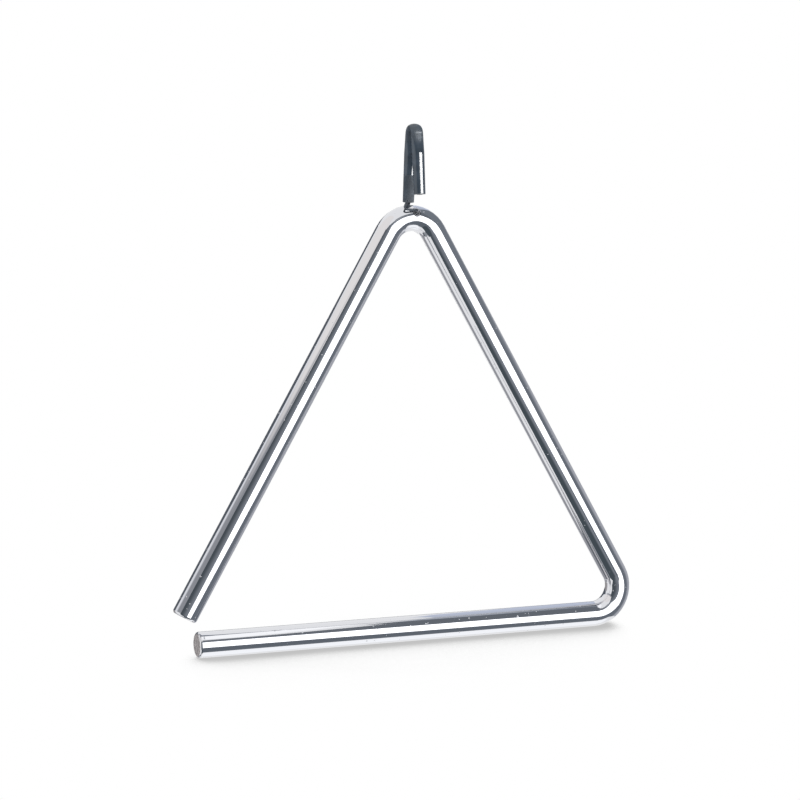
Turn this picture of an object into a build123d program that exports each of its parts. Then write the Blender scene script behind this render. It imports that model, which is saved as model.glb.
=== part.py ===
from build123d import *
from math import cos, radians, sin, sqrt
import os

# Triangle instrument: a bent steel rod that hangs on a wire hook in a vinyl sleeve.
# Millimetres, +Z up. The origin is the hook's seat, the inside of its fold. The triangle lies in the XZ plane,
# open at its lower left corner. The hook's fold runs along X, with a leg behind that plane and a leg in front.

# Rod: round steel bar, bent twice and open at the lower left corner
rod_diameter = 7.94
side_length = 157.4      # between the corners where the rod's straight axes would meet
base_angle = 60          # degrees, at both ends of the bottom side
bend_radius = 8.7        # at the rod's axis
leg_setback = 9.95       # from the open corner to the end of the left leg
bottom_setback = 8.95    # from the open corner to the end of the bottom side
end_rounding = 0.8       # broken edge around both cut ends

# Hole for the wire, drilled from front to back above the rod's axis
hole_diameter = 1.6
hole_rise = 2.1          # hole's centre above the rod's axis
hole_offset = 0.7        # hole's centre to the right of the apex, so that the open triangle hangs nearly level
hook_offset = 0.53       # hook's plane to the right of the hole
mouth_diameter = 2.6     # deburred mouth
mouth_depth = 0.85       # from the rod's surface beside the hole to the foot of the mouth's cone

# Wire: doubled, threaded through the hole, with both strands in the sleeve
wire_diameter = 0.7
running_gap = 0.03       # between the wire and the top of its hole
strand_gap = 0.1         # between the two strands in the sleeve
loop_gap = 0.2           # between the wire and the rod's surface beside the hole
loop_reach = 4.5         # how far the front strand runs to the left of the hole
loop_lift = 0.3          # how far it has climbed there
loop_inset = 0.2         # how much nearer to the rod's middle it is there
cross_offset = 2.4       # its highest point above the rod, to the left of the hole
cross_front = 1.6        # and in front of the rod's middle
cross_gap = 1.4          # and above the rod's top, clear of the wire
neck_length = 1.7        # from the sleeve's end to the front strand's bend
tight_bend = 0.85        # radius at the wire's axis
easy_bend = 2.6
wire_inset = 1.5         # wire ends inside the sleeve's free end

# Sleeve: vinyl tube folded over to a hook, pressed oval at the fold, round from the kinks below it to both ends
sleeve_wall = 0.8
bore_gap = 0.2           # between the strands and the round bore
fold_wall = 0.5          # wall stretched thin over the fold
fold_gap = 0.12          # between the strands and the oval bore
fold_half_width = 1.95   # half of the oval's width
seat_radius = 1.3        # inside of the fold
leg_splay = 6.6          # degrees, each leg from the vertical
kink_distance = 6.0      # from the fold's end to the kink of each leg
kink_swell = 0.2         # how much larger than at its ends the tube's radius is at the kinks
rear_leg = 21.2          # from the fold to the end beside the rod
front_leg = 18.65        # from the fold to the free end
sleeve_rounding = 0.12   # edge of both cut ends
foot_gap = 0.8           # from the rod's top up to the rear leg's end

overrun = 1.0            # how far a cut runs past what it cuts

# Sizes that follow
rod_radius = rod_diameter / 2
wire_radius = wire_diameter / 2
strand_offset = (wire_diameter + strand_gap) / 2
bore_radius = wire_diameter + strand_gap / 2 + bore_gap
sleeve_radius = bore_radius + sleeve_wall
kink_radius = sleeve_radius + kink_swell
kink_bore_radius = kink_radius - sleeve_wall
fold_bore_half_width = fold_half_width - sleeve_wall
fold_bore_half = wire_radius + fold_gap
fold_half = fold_bore_half + fold_wall
fold_radius = seat_radius + fold_half

# Fold and legs, in the plane X = 0
splay_sin = sin(radians(leg_splay))
splay_cos = cos(radians(leg_splay))
fold_centre = Vector(0, 0, -seat_radius)
fold_axis = Axis(fold_centre, (1, 0, 0))
fold_angle = 180 - 2 * leg_splay
rear_way = Vector(0, splay_sin, -splay_cos)
front_way = Vector(0, -splay_sin, -splay_cos)
rear_root = fold_centre + Vector(0, splay_cos, splay_sin) * fold_radius
front_root = fold_centre + Vector(0, -splay_cos, splay_sin) * fold_radius
fold_crest = fold_centre + Vector(0, 0, fold_radius)
rear_end = rear_root + rear_way * rear_leg
front_end = front_root + front_way * front_leg

# Rod's place under the hook
rod_top = rear_end.Z - foot_gap
apex_height = rod_top - rod_radius
hole_height = apex_height + hole_rise
mouth_face = sqrt(rod_radius**2 - hole_rise**2)
mouth_slope = (mouth_diameter - hole_diameter) / 2 / mouth_depth
pivot_height = hole_height + hole_diameter / 2 - wire_radius - running_gap

# Hole, and corners of the triangle on the rod's axis
hole_x = -hook_offset
base_rise = side_length * sin(radians(base_angle))
apex_corner_height = apex_height + bend_radius / cos(radians(base_angle)) - bend_radius
apex_x = hole_x - hole_offset
bottom_height = apex_corner_height - base_rise
left_corner = Vector(apex_x - side_length / 2, 0, bottom_height)
right_corner = Vector(apex_x + side_length / 2, 0, bottom_height)
apex_corner = Vector(apex_x, 0, apex_corner_height)
leg_way = (apex_corner - left_corner).normalized()
leg_end = left_corner + leg_way * leg_setback
bottom_end = left_corner + Vector(bottom_setback, 0, 0)


def hairpin(half_width, half_height, middle_radius, end_radius, tail):
    """Folded bar: oval over the fold, round from the kinks on, run past both ends by the tail."""
    with BuildPart() as form:
        with BuildSketch(Plane(rear_root, x_dir=(1, 0, 0), z_dir=rear_way)):
            Ellipse(half_width, half_height)
        revolve(axis=fold_axis, revolution_arc=fold_angle)
        for root, way, length in ((rear_root, rear_way, rear_leg), (front_root, front_way, front_leg)):
            with BuildSketch(Plane(root, x_dir=(1, 0, 0), z_dir=way)) as oval:
                Ellipse(half_width, half_height)
            with BuildSketch(Plane(root + way * kink_distance, x_dir=(1, 0, 0), z_dir=way)) as middle:
                Circle(middle_radius)
            with BuildSketch(Plane(root + way * length, x_dir=(1, 0, 0), z_dir=way)) as end:
                Circle(end_radius)
            loft(sections=[oval.sketch, middle.sketch])
            loft(sections=[middle.sketch, end.sketch])
            if tail > 0:
                extrude(end.sketch, amount=tail, dir=way)
    return form.part


# Triangle rod
with BuildPart() as triangle_rod:
    with BuildLine() as rod_line:
        FilletPolyline(leg_end, apex_corner, right_corner, bottom_end, radius=bend_radius)
    with BuildSketch(Plane(leg_end, z_dir=leg_way)):
        Circle(rod_radius)
    sweep(path=rod_line.line)
    cut_ends = triangle_rod.faces().filter_by(GeomType.PLANE)
    fillet(cut_ends.edges(), end_rounding)
    hole_plane = Plane((hole_x, 0, hole_height), x_dir=(1, 0, 0), z_dir=(0, -1, 0))
    with BuildSketch(hole_plane):
        Circle(hole_diameter / 2)
    extrude(amount=rod_diameter, both=True, mode=Mode.SUBTRACT)
    for side in (1, -1):
        mouth_foot_y = side * (mouth_face - mouth_depth)
        mouth_plane = Plane((hole_x, mouth_foot_y, hole_height), x_dir=(1, 0, 0), z_dir=(0, side, 0))
        with BuildSketch(mouth_plane) as mouth_foot:
            Circle(hole_diameter / 2)
        with BuildSketch(mouth_plane.offset(mouth_depth + overrun)) as mouth_top:
            Circle(mouth_diameter / 2 + mouth_slope * overrun)
        loft(sections=[mouth_foot.sketch, mouth_top.sketch], mode=Mode.SUBTRACT)
triangle_rod.part.label = "triangle_rod"

# Hook sleeve
with BuildPart() as hook_sleeve:
    add(hairpin(fold_half_width, fold_half, kink_radius, sleeve_radius, 0))
    cut_ends = hook_sleeve.faces().filter_by(GeomType.PLANE)
    fillet(cut_ends.edges(), sleeve_rounding)
    bore = hairpin(fold_bore_half_width, fold_bore_half, kink_bore_radius, bore_radius, overrun)
    add(bore, mode=Mode.SUBTRACT)
hook_sleeve.part.label = "hook_sleeve"

# Hanger wire
left = Vector(-strand_offset, 0, 0)
right = Vector(strand_offset, 0, 0)
wire_end = front_end - front_way * wire_inset
loop_half = mouth_face + wire_radius + loop_gap
neck_bend = rear_end + left + rear_way * neck_length
crossing = Vector(hole_x - cross_offset, -cross_front, rod_top + wire_radius + cross_gap)
shoulder = Vector(hole_x - loop_reach, loop_inset - loop_half, pivot_height + loop_lift)
front_bend = Vector(hole_x, -loop_half, pivot_height)
rear_bend = Vector(hole_x, loop_half, pivot_height)
with BuildPart() as hanger_wire:
    with BuildLine() as wire_line:
        Line(wire_end + left, front_root + left)
        ThreePointArc(front_root + left, fold_crest + left, rear_root + left)
        FilletPolyline(
            rear_root + left,
            neck_bend,
            crossing,
            shoulder,
            front_bend,
            rear_bend,
            rear_end + right,
            rear_root + right,
            radius=[tight_bend, easy_bend, tight_bend, tight_bend, tight_bend, easy_bend],
        )
        ThreePointArc(rear_root + right, fold_crest + right, front_root + right)
        Line(front_root + right, wire_end + right)
    with BuildSketch(Plane(wire_end + left, x_dir=(1, 0, 0), z_dir=-front_way)):
        Circle(wire_radius)
    sweep(path=wire_line.line)
hanger_wire.part.label = "hanger_wire"

os.makedirs("parts", exist_ok=True)
export_step(triangle_rod.part, "parts/triangle_rod.step")
export_step(hook_sleeve.part, "parts/hook_sleeve.step")
export_step(hanger_wire.part, "parts/hanger_wire.step")
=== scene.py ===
"""Triangle instrument: finishes, studio and camera, laid out as an add-on and run as a script.

Metres, in the part's own frame: the origin is the hook's seat, the triangle lies in the XZ plane, +Z is up.
"""

from math import cos, degrees, pi, radians, sin, sqrt

import bpy
from bpy.props import FloatProperty, FloatVectorProperty, PointerProperty
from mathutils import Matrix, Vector


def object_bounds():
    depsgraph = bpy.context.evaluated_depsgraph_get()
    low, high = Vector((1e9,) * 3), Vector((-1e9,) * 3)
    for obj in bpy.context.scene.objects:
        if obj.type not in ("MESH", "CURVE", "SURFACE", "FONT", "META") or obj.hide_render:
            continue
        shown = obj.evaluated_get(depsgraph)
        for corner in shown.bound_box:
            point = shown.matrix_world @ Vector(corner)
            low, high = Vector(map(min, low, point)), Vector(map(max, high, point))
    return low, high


bl_info = {
    "name": "Triangle instrument",
    "version": (1, 0, 0),
    "blender": (4, 5, 0),
    "location": "View3D > Sidebar > Triangle",
    "description": "Finishes the triangle, its wire hook and its studio",
    "category": "Object",
}

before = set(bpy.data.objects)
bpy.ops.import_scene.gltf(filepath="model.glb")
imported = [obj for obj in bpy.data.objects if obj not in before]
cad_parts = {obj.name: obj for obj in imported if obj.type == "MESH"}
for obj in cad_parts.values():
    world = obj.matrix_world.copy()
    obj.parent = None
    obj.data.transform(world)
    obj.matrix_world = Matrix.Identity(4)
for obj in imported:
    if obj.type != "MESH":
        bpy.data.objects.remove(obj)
CAD_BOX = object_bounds()
MM = 0.001

# Rod's line, as the part's solids have it, in millimetres
ROD_RADIUS = 3.97
APEX_X = -1.23
SIDE_LENGTH = 157.4
LEG_SETBACK = 9.95
BOTTOM_SETBACK = 8.95
HOLE_X = -0.53
HOLE_Z = -24.77
HOLE_RADIUS = 0.8
MOUTH_RADIUS = 1.3
BOTTOM_Z = CAD_BOX[0].z / MM + ROD_RADIUS

# Noise levels between which a soft pattern changes, since most of a noise lies there
NOISE_RANGE = (0.3, 0.7)

# Chrome plate and the bare steel under it, in millimetres
CUT_EDGE = 0.12              # width over which a cut end gives way to plate
HOLE_EDGE = 0.03             # width over which the hole's bore and mouth do
DARK_STEEL = "#b2aeae"       # mottle of the cut ends
BORE_WALL = "#dfe2e6"        # pale wall of the hole
HAZE_SHARES = (0.7, 1.3)     # of the plate's roughness, where it is clear and where it is hazy
PIT_ROUGHNESS = 0.55
CUT_ROUGHNESS = 0.5
MOUTH_ROUGHNESS = 0.4

# Vinyl, in millimetres
DARK_VINYL = "#36404a"
VINYL_CLOUD = 3
VINYL_IOR = 1.53
RUBBED_ROUGHNESS = 0.9
FOOT_EDGE = (-14.2, -13.5)   # height below which the rear leg's foot is rubbed
REAR_EDGE = (0, 0.5)         # depth behind which a leg is the rear one
FOLD_EDGE = (-5, -2)         # height above which the fold is rubbed
FOLD_RUB = 0.4               # how much of the foot's rubbing the fold has

# Wire, in millimetres
DARK_WIRE = "#565c63"
WIRE_CLOUD = 0.8
WIRE_ROUGHNESS = (0.4, 0.55)

# Floor, in metres and degrees
FLOOR_SIZE = 0.5
SHADOW_OPENNESS = (0.3, 0.9)    # to the sky, in full shadow and in none
SHADOW_FALL = 3.4               # power by which the light returns
SIDE_TURNS = (-80, 80)          # to both sides of the view
SIDE_OPENNESS = (0.96, 1)       # to a side, with the part there and with nothing there


# Colours and small helpers


def linear(hex_colour):
    """Linear RGBA of a display colour such as "#d8d4d4"."""
    values = [int(hex_colour[i : i + 2], 16) / 255 for i in (1, 3, 5)]
    return [v / 12.92 if v <= 0.04045 else ((v + 0.055) / 1.055) ** 2.4 for v in values] + [1.0]


def direction(azimuth, elevation):
    """Unit vector towards a place around the part: azimuth 0 is in front, 90 to its right, in degrees."""
    a, e = radians(azimuth), radians(elevation)
    return Vector((sin(a) * cos(e), -cos(a) * cos(e), sin(e)))


def rise(elevation):
    """How far up the unit vector of an elevation in degrees reaches."""
    return direction(0, elevation).z


def add_node(tree, kind, inputs=(), **settings):
    """Adds a node with its settings, sets or links its inputs in order or by name, and gives its outputs."""
    node = tree.nodes.new(kind)
    for name, value in settings.items():
        setattr(node, name, value)
    for key, value in inputs.items() if isinstance(inputs, dict) else enumerate(inputs):
        if isinstance(value, bpy.types.NodeSocket):
            tree.links.new(value, node.inputs[key])
        else:
            node.inputs[key].default_value = value
    return node.outputs


def new_material(name):
    """An empty node material and its tree."""
    material = bpy.data.materials.new(name)
    material.use_nodes = True
    material.node_tree.nodes.clear()
    return material, material.node_tree


def object_millimetres(tree):
    """The part's own coordinates in millimetres."""
    place = add_node(tree, "ShaderNodeTexCoord")["Object"]
    return add_node(tree, "ShaderNodeVectorMath", {0: place, "Scale": 1 / MM}, operation="SCALE")["Vector"]


def distance_along(tree, place, way, point):
    """How far a place lies from a point along a unit vector, in millimetres."""
    along = add_node(tree, "ShaderNodeVectorMath", (place, way), operation="DOT_PRODUCT")["Value"]
    start = Vector(way).dot(Vector(point))
    return add_node(tree, "ShaderNodeMath", (along, start), operation="SUBTRACT")[0]


def dress(node_name, material):
    """Gives a node of the part this material."""
    target = bpy.data.objects[node_name]
    for slot in target.material_slots:
        slot.material = material
    if not target.material_slots:
        target.data.materials.append(material)


# Settings that a user would change


class TriangleFinish(bpy.types.PropertyGroup):
    """Colours and gloss of the three pieces."""

    chrome_colour: FloatVectorProperty(
        name="Chrome", description="Chrome plate",
        default=linear("#dedfe3"), size=4, min=0, max=1, subtype="COLOR",
    )
    chrome_roughness: FloatProperty(
        name="Chrome roughness", description="Roughness of the polished plate",
        default=0.035, min=0, max=1, subtype="FACTOR",
    )
    end_colour: FloatVectorProperty(
        name="Cut ends", description="Bare steel of the cut ends",
        default=linear("#e0dcdc"), size=4, min=0, max=1, subtype="COLOR",
    )
    vinyl_colour: FloatVectorProperty(
        name="Vinyl", description="Sleeve's vinyl",
        default=linear("#434e5a"), size=4, min=0, max=1, subtype="COLOR",
    )
    vinyl_roughness: FloatProperty(
        name="Vinyl roughness", description="Roughness of the smooth vinyl",
        default=0.09, min=0, max=1, subtype="FACTOR",
    )
    wire_colour: FloatVectorProperty(
        name="Wire", description="Dark steel wire",
        default=linear("#70767d"), size=4, min=0, max=1, subtype="COLOR",
    )


class TriangleStudio(bpy.types.PropertyGroup):
    """Camera and studio."""

    camera_azimuth: FloatProperty(
        name="Azimuth", description="Camera's side", default=radians(-22.54), subtype="ANGLE"
    )
    camera_elevation: FloatProperty(
        name="Elevation", description="Camera's height", default=radians(5.68), subtype="ANGLE"
    )
    camera_distance: FloatProperty(
        name="Distance", description="Camera to the aim point", default=0.7555, subtype="DISTANCE"
    )
    camera_aim: FloatVectorProperty(
        name="Aim", description="Point at the picture's middle",
        default=(-0.00472, 0, -0.08282), subtype="TRANSLATION",
    )
    camera_lens: FloatProperty(name="Lens", description="Focal length", default=110.2, unit="CAMERA")
    card_distance: FloatProperty(
        name="Cards", description="Distance of the studio's cards", default=3.2, subtype="DISTANCE"
    )
    card_step: FloatProperty(
        name="Card step", description="Each card's step behind the one before, as a share of the distance",
        default=0.01, subtype="FACTOR",
    )
    softbox_distance: FloatProperty(
        name="Softbox", description="Distance of the softbox", default=1.6, subtype="DISTANCE"
    )
    lamp_azimuth: FloatProperty(
        name="Lamp azimuth", description="Softbox lamp's side", default=radians(28), subtype="ANGLE"
    )
    lamp_elevation: FloatProperty(
        name="Lamp elevation", description="Softbox lamp's height", default=0, subtype="ANGLE"
    )
    lamp_distance: FloatProperty(
        name="Lamp distance", description="Softbox lamp's distance", default=1.2, subtype="DISTANCE"
    )
    lamp_width: FloatProperty(
        name="Lamp width", description="Softbox lamp's width", default=1.2, subtype="DISTANCE"
    )
    lamp_height: FloatProperty(
        name="Lamp height", description="Softbox lamp's height", default=0.71, subtype="DISTANCE"
    )
    lamp_brightness: FloatProperty(
        name="Lamp brightness", description="Softbox lamp's brightness, where white paper has 1", default=20
    )
    shadow_reach: FloatProperty(
        name="Shadow reach", description="How far the floor's shadow reaches",
        default=0.15, subtype="DISTANCE",
    )
    shadow_level: FloatProperty(
        name="Shadow level", description="Brightness of the floor's darkest shadow",
        default=0.54, min=0, max=1, subtype="FACTOR",
    )


# Finishes


def bare_steel(tree, place):
    """Masks of the rod's bare steel: its cut ends, and the hole's bore and mouth."""
    # Distances from both cuts, up from the bottom side's axis and out from the hole's axis
    leg_way = Vector((0.5, 0, sqrt(3) / 2))
    left_corner = Vector((APEX_X - SIDE_LENGTH / 2, 0, BOTTOM_Z))
    leg_cut = distance_along(tree, place, leg_way, left_corner + leg_way * LEG_SETBACK)
    bottom_cut = distance_along(tree, place, (1, 0, 0), left_corner + Vector((BOTTOM_SETBACK, 0, 0)))
    height = distance_along(tree, place, (0, 0, 1), left_corner)
    flat = add_node(tree, "ShaderNodeVectorMath", (place, (1, 0, 1)), operation="MULTIPLY")["Vector"]
    hole = (HOLE_X, 0, HOLE_Z)
    from_hole = add_node(tree, "ShaderNodeVectorMath", (flat, hole), operation="DISTANCE")["Value"]

    # Masks that fall from 1 to 0 across an edge
    masks = {}
    for name, distance, start, edge in (
        ("leg_cut", leg_cut, 0, CUT_EDGE),
        ("bottom_cut", bottom_cut, 0, CUT_EDGE),
        ("bottom_side", height, ROD_RADIUS, CUT_EDGE),
        ("bore", from_hole, HOLE_RADIUS, HOLE_EDGE),
        ("mouth", from_hole, MOUTH_RADIUS, HOLE_EDGE),
    ):
        inputs = (distance, start, start + edge, 1, 0)
        masks[name] = add_node(tree, "ShaderNodeMapRange", inputs, interpolation_type="SMOOTHSTEP")[0]

    # Each cut's plane also passes through the other side, so each mask is kept to its own side
    inputs = (masks["bottom_cut"], masks["bottom_side"])
    bottom_end = add_node(tree, "ShaderNodeMath", inputs, operation="MULTIPLY")[0]
    above = add_node(tree, "ShaderNodeMath", (1, masks["bottom_side"]), operation="SUBTRACT")[0]
    leg_end = add_node(tree, "ShaderNodeMath", (masks["leg_cut"], above), operation="MULTIPLY")[0]
    cut_ends = add_node(tree, "ShaderNodeMath", (bottom_end, leg_end), operation="MAXIMUM")[0]
    return cut_ends, masks["bore"], masks["mouth"]


def steel_patterns(tree, place, roughness):
    """Pits under the plate, the cut steel's mottle, and the roughness of the faintly hazy plate."""
    clear, hazy = (roughness * share for share in HAZE_SHARES)
    patterns = []
    # Grain in millimetres, detail, two noise levels and the values there. Pits come out a few tenths across
    for grain, detail, low, high, first, last in (
        (1.3, 1, 0.725, 0.745, 0, 1),
        (0.9, 3, 0.35, 0.65, 0, 1),
        (6, 2, *NOISE_RANGE, clear, hazy),
    ):
        inputs = {"Vector": place, "Scale": 1 / grain, "Detail": detail}
        noise = add_node(tree, "ShaderNodeTexNoise", inputs)["Fac"]
        inputs = (noise, low, high, first, last)
        patterns.append(add_node(tree, "ShaderNodeMapRange", inputs, interpolation_type="SMOOTHSTEP")[0])
    return patterns


class OBJECT_OT_triangle_chrome(bpy.types.Operator):
    """Polished chrome plate with small pits, bare steel at the cut ends"""

    bl_idname = "object.triangle_chrome"
    bl_label = "Chrome the rod"

    def execute(self, context):
        finish = context.scene.triangle_finish
        # Chrome plate on drawn steel bar: mirror bright, with a breath of haze and a few small pits
        material, tree = new_material("chrome_plate_on_steel")
        place = object_millimetres(tree)
        cut_ends, bore, mouth = bare_steel(tree, place)
        pits, mottle, roughness = steel_patterns(tree, place, finish.chrome_roughness)

        # Plate, cut ends of mottled steel, and the hole's pale bore, which mirrors nothing
        inputs = {0: mottle, 6: linear(DARK_STEEL), 7: finish.end_colour}
        steel = add_node(tree, "ShaderNodeMix", inputs, data_type="RGBA")[2]
        inputs = {0: cut_ends, 6: finish.chrome_colour, 7: steel}
        colour = add_node(tree, "ShaderNodeMix", inputs, data_type="RGBA")[2]
        inputs = {0: bore, 6: colour, 7: linear(BORE_WALL)}
        colour = add_node(tree, "ShaderNodeMix", inputs, data_type="RGBA")[2]
        metal = add_node(tree, "ShaderNodeMath", (1, bore), operation="SUBTRACT")[0]
        for mask, level in ((pits, PIT_ROUGHNESS), (cut_ends, CUT_ROUGHNESS), (mouth, MOUTH_ROUGHNESS)):
            dull = add_node(tree, "ShaderNodeMath", (mask, level), operation="MULTIPLY")[0]
            roughness = add_node(tree, "ShaderNodeMath", (roughness, dull), operation="MAXIMUM")[0]
        inputs = {"Base Color": colour, "Metallic": metal, "Roughness": roughness}
        shader = add_node(tree, "ShaderNodeBsdfPrincipled", inputs)["BSDF"]
        add_node(tree, "ShaderNodeOutputMaterial", {"Surface": shader})
        dress("triangle_rod", material)
        return {"FINISHED"}


class OBJECT_OT_triangle_sleeve(bpy.types.Operator):
    """Glossy black vinyl"""

    bl_idname = "object.triangle_sleeve"
    bl_label = "Finish the sleeve"

    def execute(self, context):
        finish = context.scene.triangle_finish
        # Plasticised vinyl tube, extruded: a cloudy blue black, glossy where it isn't rubbed
        material, tree = new_material("black_vinyl_tube")
        place = object_millimetres(tree)
        inputs = {"Vector": place, "Scale": 1 / VINYL_CLOUD, "Detail": 2}
        noise = add_node(tree, "ShaderNodeTexNoise", inputs)["Fac"]
        inputs = (noise, *NOISE_RANGE, 0, 1)
        cloud = add_node(tree, "ShaderNodeMapRange", inputs, interpolation_type="SMOOTHSTEP")[0]
        inputs = {0: cloud, 6: linear(DARK_VINYL), 7: finish.vinyl_colour}
        colour = add_node(tree, "ShaderNodeMix", inputs, data_type="RGBA")[2]

        # Rubbed dull over the fold and towards the rear leg's foot
        parts = add_node(tree, "ShaderNodeSeparateXYZ", (place,))
        masks = {}
        for name, part, edge, first, last in (
            ("low", parts["Z"], FOOT_EDGE, 1, 0),
            ("rear", parts["Y"], REAR_EDGE, 0, 1),
            ("fold", parts["Z"], FOLD_EDGE, 0, FOLD_RUB),
        ):
            inputs = (part, *edge, first, last)
            masks[name] = add_node(tree, "ShaderNodeMapRange", inputs, interpolation_type="SMOOTHSTEP")[0]
        foot = add_node(tree, "ShaderNodeMath", (masks["low"], masks["rear"]), operation="MULTIPLY")[0]
        rubbed = add_node(tree, "ShaderNodeMath", (foot, masks["fold"]), operation="MAXIMUM")[0]
        inputs = (rubbed, 0, 1, finish.vinyl_roughness, RUBBED_ROUGHNESS)
        roughness = add_node(tree, "ShaderNodeMapRange", inputs)[0]
        inputs = {"Base Color": colour, "Roughness": roughness, "IOR": VINYL_IOR}
        shader = add_node(tree, "ShaderNodeBsdfPrincipled", inputs)["BSDF"]
        add_node(tree, "ShaderNodeOutputMaterial", {"Surface": shader})
        dress("hook_sleeve", material)
        return {"FINISHED"}


class OBJECT_OT_triangle_wire(bpy.types.Operator):
    """Dark drawn steel wire"""

    bl_idname = "object.triangle_wire"
    bl_label = "Finish the wire"

    def execute(self, context):
        finish = context.scene.triangle_finish
        # Drawn steel wire, darkened: a dim metal, uneven in tone and gloss
        material, tree = new_material("dark_steel_wire")
        place = object_millimetres(tree)
        inputs = {"Vector": place, "Scale": 1 / WIRE_CLOUD, "Detail": 3}
        cloud = add_node(tree, "ShaderNodeTexNoise", inputs)["Fac"]
        inputs = {0: cloud, 6: linear(DARK_WIRE), 7: finish.wire_colour}
        colour = add_node(tree, "ShaderNodeMix", inputs, data_type="RGBA")[2]
        inputs = (cloud, *NOISE_RANGE, *WIRE_ROUGHNESS)
        roughness = add_node(tree, "ShaderNodeMapRange", inputs, interpolation_type="SMOOTHSTEP")[0]
        inputs = {"Base Color": colour, "Metallic": 1, "Roughness": roughness}
        shader = add_node(tree, "ShaderNodeBsdfPrincipled", inputs)["BSDF"]
        add_node(tree, "ShaderNodeOutputMaterial", {"Surface": shader})
        dress("hanger_wire", material)
        return {"FINISHED"}


# Studio

# Cards that the metal mirrors. Corners are azimuth and elevation in degrees. A card's display colour can
# change to another between two azimuths, and then to a third between two elevations. Paper has strength 1.
CARDS = {
    "card_left": {
        "corners": (
            (-74, -20), (-54, -38), (-68, -46), (-60, -66), (4, -66), (4, 34), (-14, 38), (-36, 34),
            (-50, 28), (-58, 27.8), (-66, 22),
        ),
        "colour": "#4f565c",
        "across": (-50, 0, "#8a8f96"),
        "up": (-28, -38, "#4c555b"),
    },
    "card_low": {
        "corners": ((-4, -66), (22, -66), (33, -58), (40, -54), (50, -48), (58, -38), (54, -12), (-4, -12)),
        "colour": "#666d74",
        "across": (-4, 50, "#70767e"),
    },
    "card_high": {
        "corners": ((-12, 18), (60, 16), (68, 66), (58, 64.5), (45, 58), (27, 45), (16, 43), (-12, 43)),
        "colour": "#a9acb0",
        "across": (-12, 30, "#70757c"),
    },
    "card_right": {
        "corners": (
            (44, -38), (110, -38), (150, -16), (150, 4), (124, 38), (98, 56), (76, 62), (66, 63), (48, 16),
        ),
        "colour": "#737981",
        "across": (70, 102, "#b4b6bd"),
        "up": (9, 16, "#7d838b"),
    },
    "card_upper_right": {
        "corners": (
            (154, 4), (152, 33), (143.5, 49.5), (128, 60), (105.5, 65.3), (78, 66.7), (68, 66), (66, 62),
            (98, 56), (124, 38),
        ),
        "colour": "#b3b9c3",
        "across": (78, 150, "#d0d7e8"),
    },
    "card_behind": {
        "corners": (
            (150, -10), (176, -8), (204, 3), (223, 14), (222, 21), (229, 25.5), (226, 27), (220, 28),
            (213, 26), (190, 26), (168, 12), (150, 2),
        ),
        "colour": "#5c626a",
    },
    "card_back": {
        "corners": ((-176, -22), (-130, -28), (-128, 12), (-150, 13), (-176, 3)),
        "colour": "#8f8a88",
        "across": (-176, -128, "#b0aeb0"),
    },
    "card_rear_left": {
        "corners": ((-180, -20), (-150, -24), (-133, -33), (-133, -46), (-180, -46)),
        "colour": "#a2a3a8",
    },
    "card_ground_left": {
        "corners": ((-140, -44.2), (-100, -50.2), (-62, -49.5), (-60, -66), (-140, -66)),
        "colour": "#63686e",
        "across": (-128, -92, "#a0a4a9"),
    },
    "card_strip_left": {
        "corners": ((-80, 24), (-54, 22), (-34, 36), (-36, 62), (-80, 62)),
        "colour": "#a5a5a8",
        "up": (27.5, 31, "#f9f5f3"),
    },
    "card_far_left": {
        "corners": ((-134, 18), (-54, 22), (-34, 36), (-36, 62), (-134, 62)),
        "colour": "#f2f3f7",
        "across": (-121, -99, "#9c9ea3"),
        "up": (30, 36, "#fdf9f6"),
    },
    "reflector_low": {
        "corners": (
            (33, -59), (44, -52), (56, -45), (80, -48), (112, -56), (150, -62), (160, -84), (20, -84),
        ),
        "colour": "#f7f8f9",
        "strength": 1.3,
    },
    "reflector_top": {
        "corners": ((28, 49), (45, 61), (60, 66), (76, 68), (100, 69), (110, 76), (60, 84), (20, 70)),
        "colour": "#ffffff",
        "strength": 1.25,
    },
    "softbox": {
        "corners": (
            (0, -19.5), (12, -18.7), (24, -19.3), (44, -20.5), (45, -12), (50, -1), (48.5, 4), (53, 11),
            (47, 18), (33, 24), (-7, 25), (-7, 18), (-4, 8),
        ),
        "colour": "#ffffff",
        "strength": 2.2,
        "near": True,
    },
}


def card_cloth(tree, card, aim):
    """A card's colour, or the socket that changes it across and up the card."""
    cloth = linear(card["colour"])
    if "across" not in card and "up" not in card:
        return cloth
    place = add_node(tree, "ShaderNodeTexCoord")["Object"]
    way = add_node(tree, "ShaderNodeVectorMath", (place, aim), operation="SUBTRACT")["Vector"]
    way = add_node(tree, "ShaderNodeVectorMath", (way,), operation="NORMALIZE")["Vector"]
    parts = add_node(tree, "ShaderNodeSeparateXYZ", (way,))
    front = add_node(tree, "ShaderNodeMath", (parts["Y"], -1), operation="MULTIPLY")[0]
    azimuth = add_node(tree, "ShaderNodeMath", (parts["X"], front), operation="ARCTAN2")[0]
    for change, value, measure in (("across", azimuth, radians), ("up", parts["Z"], rise)):
        if change in card:
            start, end, last = card[change]
            inputs = (value, measure(start), measure(end), 0, 1)
            share = add_node(tree, "ShaderNodeMapRange", inputs, interpolation_type="SMOOTHSTEP")[0]
            inputs = {0: share, 6: cloth, 7: linear(last)}
            cloth = add_node(tree, "ShaderNodeMix", inputs, data_type="RGBA")[2]
    return cloth


def white_surround(scene):
    """Even soft light from all sides, and the white background."""
    world = bpy.data.worlds.new("white_surround")
    scene.world = world
    world.use_nodes = True
    tree = world.node_tree
    tree.nodes.clear()
    white = add_node(tree, "ShaderNodeBackground", {"Color": linear("#ffffff"), "Strength": 1})[0]
    add_node(tree, "ShaderNodeOutputWorld", {"Surface": white})


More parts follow.
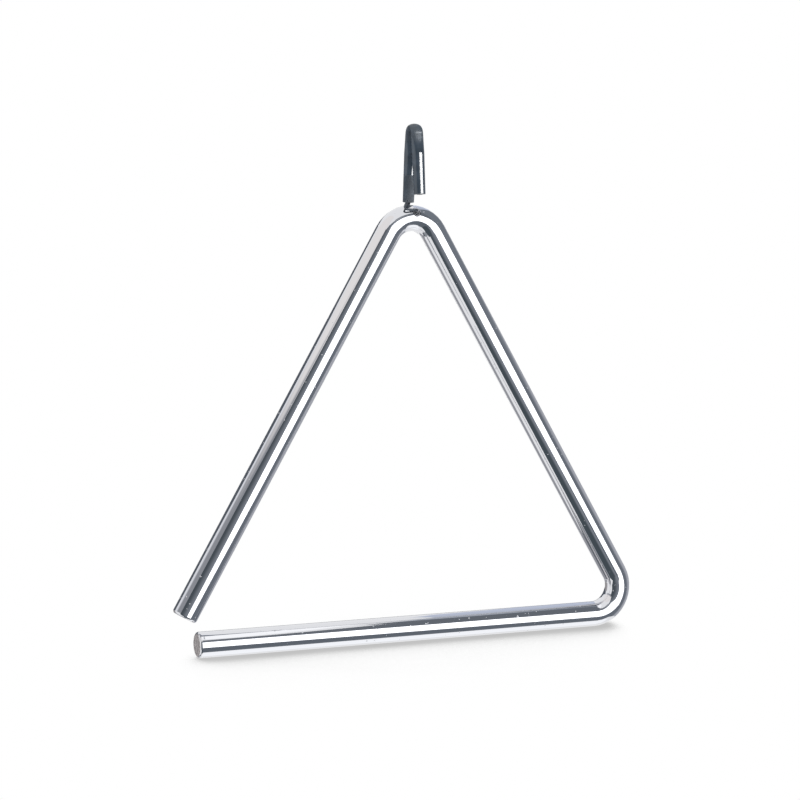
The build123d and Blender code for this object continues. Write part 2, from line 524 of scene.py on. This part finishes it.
def paper_floor(context, studio):
    """White floor, darkened where the part shuts out the light close by."""
    bpy.ops.object.select_all(action="DESELECT")
    bpy.ops.mesh.primitive_plane_add(size=FLOOR_SIZE, location=(0, 0, CAD_BOX[0].z))
    floor = context.object
    floor.name = "floor"
    # White paper under even light: as white as the surround, but for the shadow
    material, tree = new_material("white_paper_floor")
    inputs = {"Distance": studio.shadow_reach}
    openness = add_node(tree, "ShaderNodeAmbientOcclusion", inputs, samples=16)["AO"]
    light = add_node(tree, "ShaderNodeMapRange", (openness, *SHADOW_OPENNESS, 0, 1))[0]
    light = add_node(tree, "ShaderNodeMath", (light, SHADOW_FALL), operation="POWER")[0]
    shade = add_node(tree, "ShaderNodeMath", (1, light), operation="SUBTRACT")[0]
    # The shadow keeps to the floor between the ends of what stands on it
    for turn in SIDE_TURNS:
        way = direction(degrees(studio.camera_azimuth) + 180 + turn, 0)
        side = add_node(tree, "ShaderNodeCombineXYZ", way)[0]
        inputs = {"Distance": studio.shadow_reach, "Normal": side}
        openness = add_node(tree, "ShaderNodeAmbientOcclusion", inputs, samples=32)["AO"]
        between = add_node(tree, "ShaderNodeMapRange", (openness, *SIDE_OPENNESS, 1, 0))[0]
        shade = add_node(tree, "ShaderNodeMath", (shade, between), operation="MULTIPLY")[0]
    level = add_node(tree, "ShaderNodeMapRange", (shade, 0, 1, 1, studio.shadow_level))[0]
    paper = add_node(tree, "ShaderNodeBsdfTransparent", {"Color": level})[0]
    add_node(tree, "ShaderNodeOutputMaterial", {"Surface": paper})
    floor.data.materials.append(material)
    floor.visible_glossy = False


def hang_cards(context, studio):
    """Softbox and cards around the camera, which only the glossy finishes see."""
    aim = Vector(studio.camera_aim)
    for number, (name, card) in enumerate(CARDS.items()):
        bpy.ops.object.select_all(action="DESELECT")
        bpy.ops.mesh.primitive_circle_add(vertices=len(card["corners"]), radius=1, fill_type="NGON")
        sheet = context.object
        sheet.name = name
        distance = studio.card_distance * (1 + studio.card_step * number)
        if "near" in card:
            distance = studio.softbox_distance
        for vertex, corner in zip(sheet.data.vertices, card["corners"]):
            vertex.co = aim + direction(*corner) * distance
        # Cloth: an even glow, so that the metal mirrors its colour as it is written
        material, tree = new_material(name + "_cloth")
        inputs = {"Color": card_cloth(tree, card, aim), "Strength": card.get("strength", 1)}
        glow = add_node(tree, "ShaderNodeEmission", inputs)[0]
        add_node(tree, "ShaderNodeOutputMaterial", {"Surface": glow})
        sheet.data.materials.append(material)
        sheet.visible_camera = False
        sheet.visible_diffuse = False
        sheet.visible_shadow = False


def place_lamp(scene, studio):
    """Softbox's strong light, for the highlight on the sleeve alone."""
    glossy_pieces = bpy.data.collections.new("glossy_pieces")
    glossy_pieces.objects.link(bpy.data.objects["hook_sleeve"])
    lamp = bpy.data.objects.new("softbox_lamp", bpy.data.lights.new("softbox_lamp", "AREA"))
    scene.collection.objects.link(lamp)
    back = direction(degrees(studio.lamp_azimuth), degrees(studio.lamp_elevation))
    lamp.location = Vector(studio.camera_aim) + back * studio.lamp_distance
    lamp.rotation_euler = back.to_track_quat("Z", "Y").to_euler()
    lamp.data.shape = "RECTANGLE"
    lamp.data.size = studio.lamp_width
    lamp.data.size_y = studio.lamp_height
    lamp.data.energy = studio.lamp_brightness * pi * studio.lamp_width * studio.lamp_height
    lamp.visible_camera = False
    lamp.visible_diffuse = False
    lamp.light_linking.receiver_collection = glossy_pieces


def place_camera(scene, studio):
    """Camera where the photograph was taken from."""
    camera = bpy.data.objects.new("camera", bpy.data.cameras.new("camera"))
    scene.collection.objects.link(camera)
    back = direction(degrees(studio.camera_azimuth), degrees(studio.camera_elevation))
    camera.location = Vector(studio.camera_aim) + back * studio.camera_distance
    camera.rotation_euler = (-back).to_track_quat("-Z", "Y").to_euler()
    camera.data.lens = studio.camera_lens
    camera.data.sensor_width = 36
    camera.data.clip_start = 0.01
    camera.data.clip_end = 50
    scene.camera = camera


class OBJECT_OT_triangle_studio(bpy.types.Operator):
    """White surround and floor, softbox, cards and camera"""

    bl_idname = "object.triangle_studio"
    bl_label = "Set the studio"

    def execute(self, context):
        scene = context.scene
        studio = scene.triangle_studio
        scene.view_settings.view_transform = "Standard"
        white_surround(scene)
        paper_floor(context, studio)
        hang_cards(context, studio)
        place_lamp(scene, studio)
        place_camera(scene, studio)
        return {"FINISHED"}


class VIEW3D_PT_triangle(bpy.types.Panel):
    """Lists the finishes and the studio"""

    bl_label = "Triangle instrument"
    bl_idname = "VIEW3D_PT_triangle"
    bl_space_type = "VIEW_3D"
    bl_region_type = "UI"
    bl_category = "Triangle"

    def draw(self, context):
        for operator in OPERATORS:
            self.layout.operator(operator.bl_idname)
        for group in (context.scene.triangle_finish, context.scene.triangle_studio):
            for name in group.bl_rna.properties.keys():
                if name not in ("rna_type", "name"):
                    self.layout.prop(group, name)


OPERATORS = (
    OBJECT_OT_triangle_chrome,
    OBJECT_OT_triangle_sleeve,
    OBJECT_OT_triangle_wire,
    OBJECT_OT_triangle_studio,
)
CLASSES = (TriangleFinish, TriangleStudio, *OPERATORS, VIEW3D_PT_triangle)


def register():
    for cls in CLASSES:
        bpy.utils.register_class(cls)
    bpy.types.Scene.triangle_finish = PointerProperty(type=TriangleFinish)
    bpy.types.Scene.triangle_studio = PointerProperty(type=TriangleStudio)


def unregister():
    del bpy.types.Scene.triangle_studio
    del bpy.types.Scene.triangle_finish
    for cls in reversed(CLASSES):
        bpy.utils.unregister_class(cls)


def main():
    register()
    bpy.ops.object.triangle_chrome()
    bpy.ops.object.triangle_sleeve()
    bpy.ops.object.triangle_wire()
    bpy.ops.object.triangle_studio()


if __name__ == "__main__":
    main()
